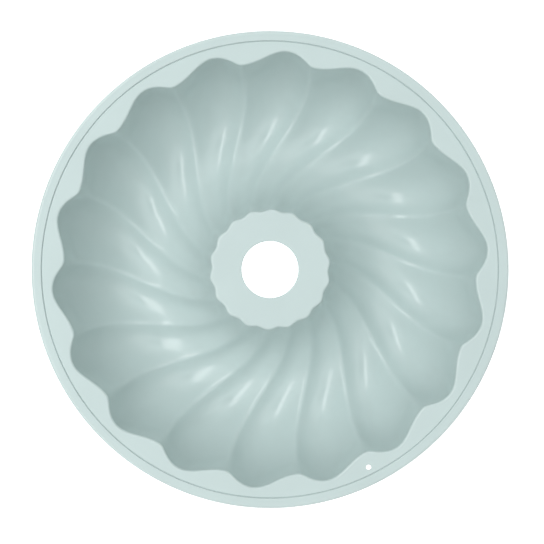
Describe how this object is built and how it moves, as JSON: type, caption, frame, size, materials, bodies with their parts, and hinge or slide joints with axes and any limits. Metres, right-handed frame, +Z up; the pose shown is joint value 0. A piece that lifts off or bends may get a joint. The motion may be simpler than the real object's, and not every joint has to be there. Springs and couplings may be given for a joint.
{
  "type": "fluted ring-cake pan",
  "caption": "Round silicone ring-cake pan with swirled flutes, a central tube, a flat flange and a raised rim stiffened by a wire ring.",
  "frame": {"origin": "centre of the underside, on the tube's axis, at the height of the surface that the pan stands on", "axes": "+Z up along the axis of the central tube, out of the open side; +X and +Y level, with the hanging hole at a bearing of about -63 degrees from +X"},
  "size_m": [0.26, 0.26, 0.074],
  "materials": {
    "silicone": "fine satin",
    "ring_steel": "drawn wire"
  },
  "bodies": {
    "root": {"mould_shell": "silicone", "rim_band": "silicone", "stiffening_ring": "ring_steel"}
  },
  "joints": []
}
